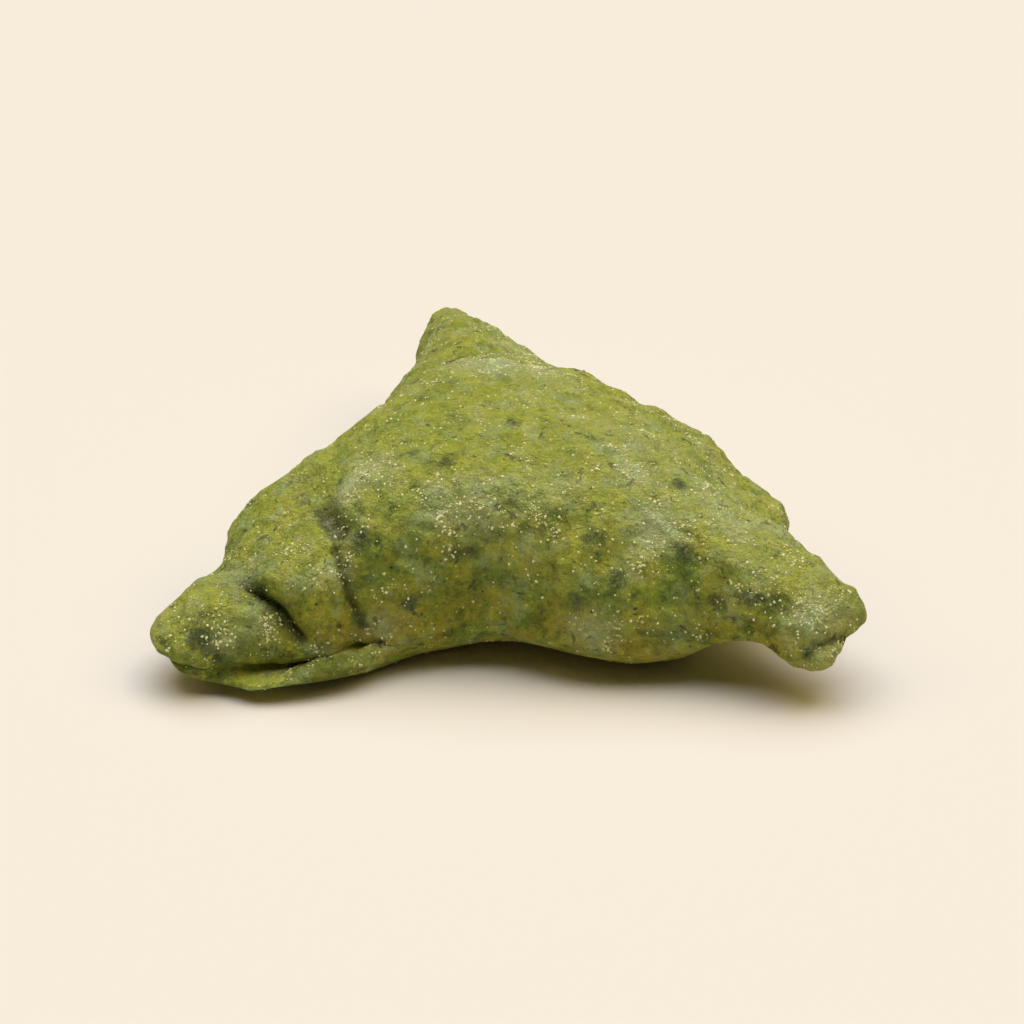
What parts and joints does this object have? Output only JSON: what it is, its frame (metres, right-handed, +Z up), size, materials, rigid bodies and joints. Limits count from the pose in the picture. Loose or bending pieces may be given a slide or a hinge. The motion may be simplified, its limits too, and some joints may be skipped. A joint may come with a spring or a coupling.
{
  "type": "spinach fatayer",
  "caption": "Three-cornered spinach pastry: a sealed parcel of green dough with pinched corners, a domed top and a seam lip along its foot.",
  "frame": {"origin": "middle of the bounding box in plan, at the height of the table it rests on", "axes": "+Z up, +X from the left corner to the right corner, +Y towards the back corner"},
  "size_m": [0.0852, 0.0786, 0.0266],
  "materials": {
    "green_dough": "matte, dusted with fine meal"
  },
  "bodies": {
    "root": {"parcel": "green_dough"}
  },
  "joints": []
}
